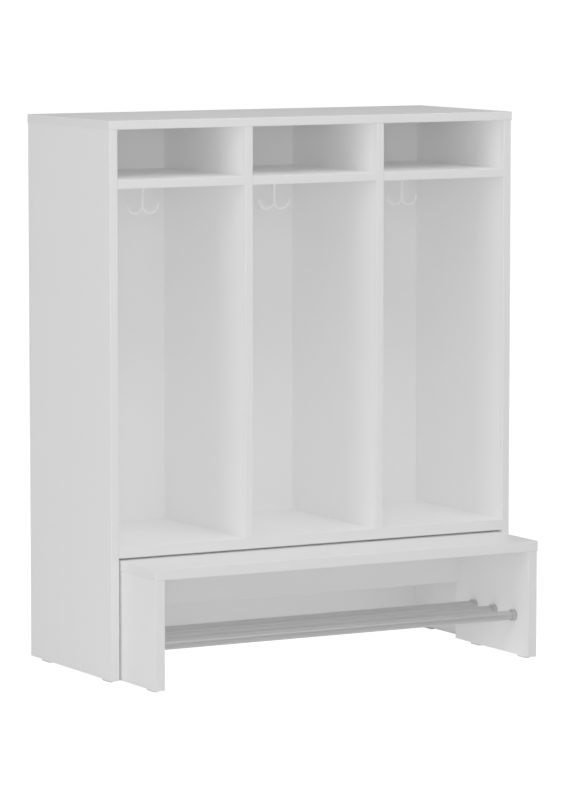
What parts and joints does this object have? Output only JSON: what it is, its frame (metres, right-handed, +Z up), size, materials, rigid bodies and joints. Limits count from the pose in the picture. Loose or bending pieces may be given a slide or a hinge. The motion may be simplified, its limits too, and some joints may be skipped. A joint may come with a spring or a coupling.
{
  "type": "hall tree with hooks",
  "caption": "White cloakroom cabinet with hat cubbies and coat hooks over open bays, and a pull-out bench with a rod shoe rack nested in its foot.",
  "frame": {"origin": "on the floor, in the middle of the footprint of cabinet and bench, with the bench standing 150 mm in front of the cabinet", "axes": "+Z up, +X to the right as seen from the front, +Y towards the back"},
  "size_m": [0.9444, 0.524, 1.137],
  "materials": {
    "melamine_white": "white melamine on particleboard, satin",
    "back_panel_white": "white laminated fibreboard, satin",
    "edge_band_white": "white ABS edge band, satin",
    "hook_white": "white powder coat, satin",
    "rod_grey": "satin anodised",
    "socket_grey": "satin anodised",
    "glide_grey": "moulded polyethylene",
    "beech": "plain fluted beech",
    "zinc": "zinc die casting, dull",
    "screw_steel": "zinc plated steel"
  },
  "bodies": {
    "cabinet": {"back_panel": "back_panel_white", "back_panel_screws": "screw_steel", "bottom_panel": "melamine_white", "bottom_panel_cam_bolts": "screw_steel", "bottom_panel_cams": "zinc", "bottom_panel_edge_band": "edge_band_white", "cabinet_glide_screws": "screw_steel", "cabinet_glides": "glide_grey", "carcass_dowels": "beech", "coat_hook_screws": "screw_steel", "divider_screws": "screw_steel", "hat_shelf_edge_bands": "edge_band_white", "hat_shelf_through_dowels": "beech", "left_coat_hook": "hook_white", "left_divider": "melamine_white", "left_divider_edge_band": "edge_band_white", "left_hat_shelf": "melamine_white", "left_side_edge_band": "edge_band_white", "left_side_panel": "melamine_white", "middle_coat_hook": "hook_white", "middle_hat_shelf": "melamine_white", "right_coat_hook": "hook_white", "right_divider": "melamine_white", "right_divider_edge_band": "edge_band_white", "right_hat_shelf": "melamine_white", "right_side_edge_band": "edge_band_white", "right_side_panel": "melamine_white", "top_panel": "melamine_white", "top_panel_edge_bands": "edge_band_white"},
    "bench": {"bench_cam_bolts": "screw_steel", "bench_cams": "zinc", "bench_dowels": "beech", "bench_glide_screws": "screw_steel", "bench_glides": "glide_grey", "bench_left_leg": "melamine_white", "bench_left_leg_edge_bands": "edge_band_white", "bench_rail_edge_band": "edge_band_white", "bench_rear_rail": "melamine_white", "bench_right_leg": "melamine_white", "bench_right_leg_edge_bands": "edge_band_white", "bench_seat": "melamine_white", "bench_seat_edge_bands": "edge_band_white", "front_shoe_rod": "rod_grey", "middle_shoe_rod": "rod_grey", "rear_shoe_rod": "rod_grey", "rod_socket_screws": "screw_steel", "rod_sockets": "socket_grey"}
  },
  "joints": [
    {"name": "bench_slide", "type": "slide", "parent": "cabinet", "child": "bench", "axis": [0, -1, 0], "range_m": [-0.209, 0.2]}
  ]
}
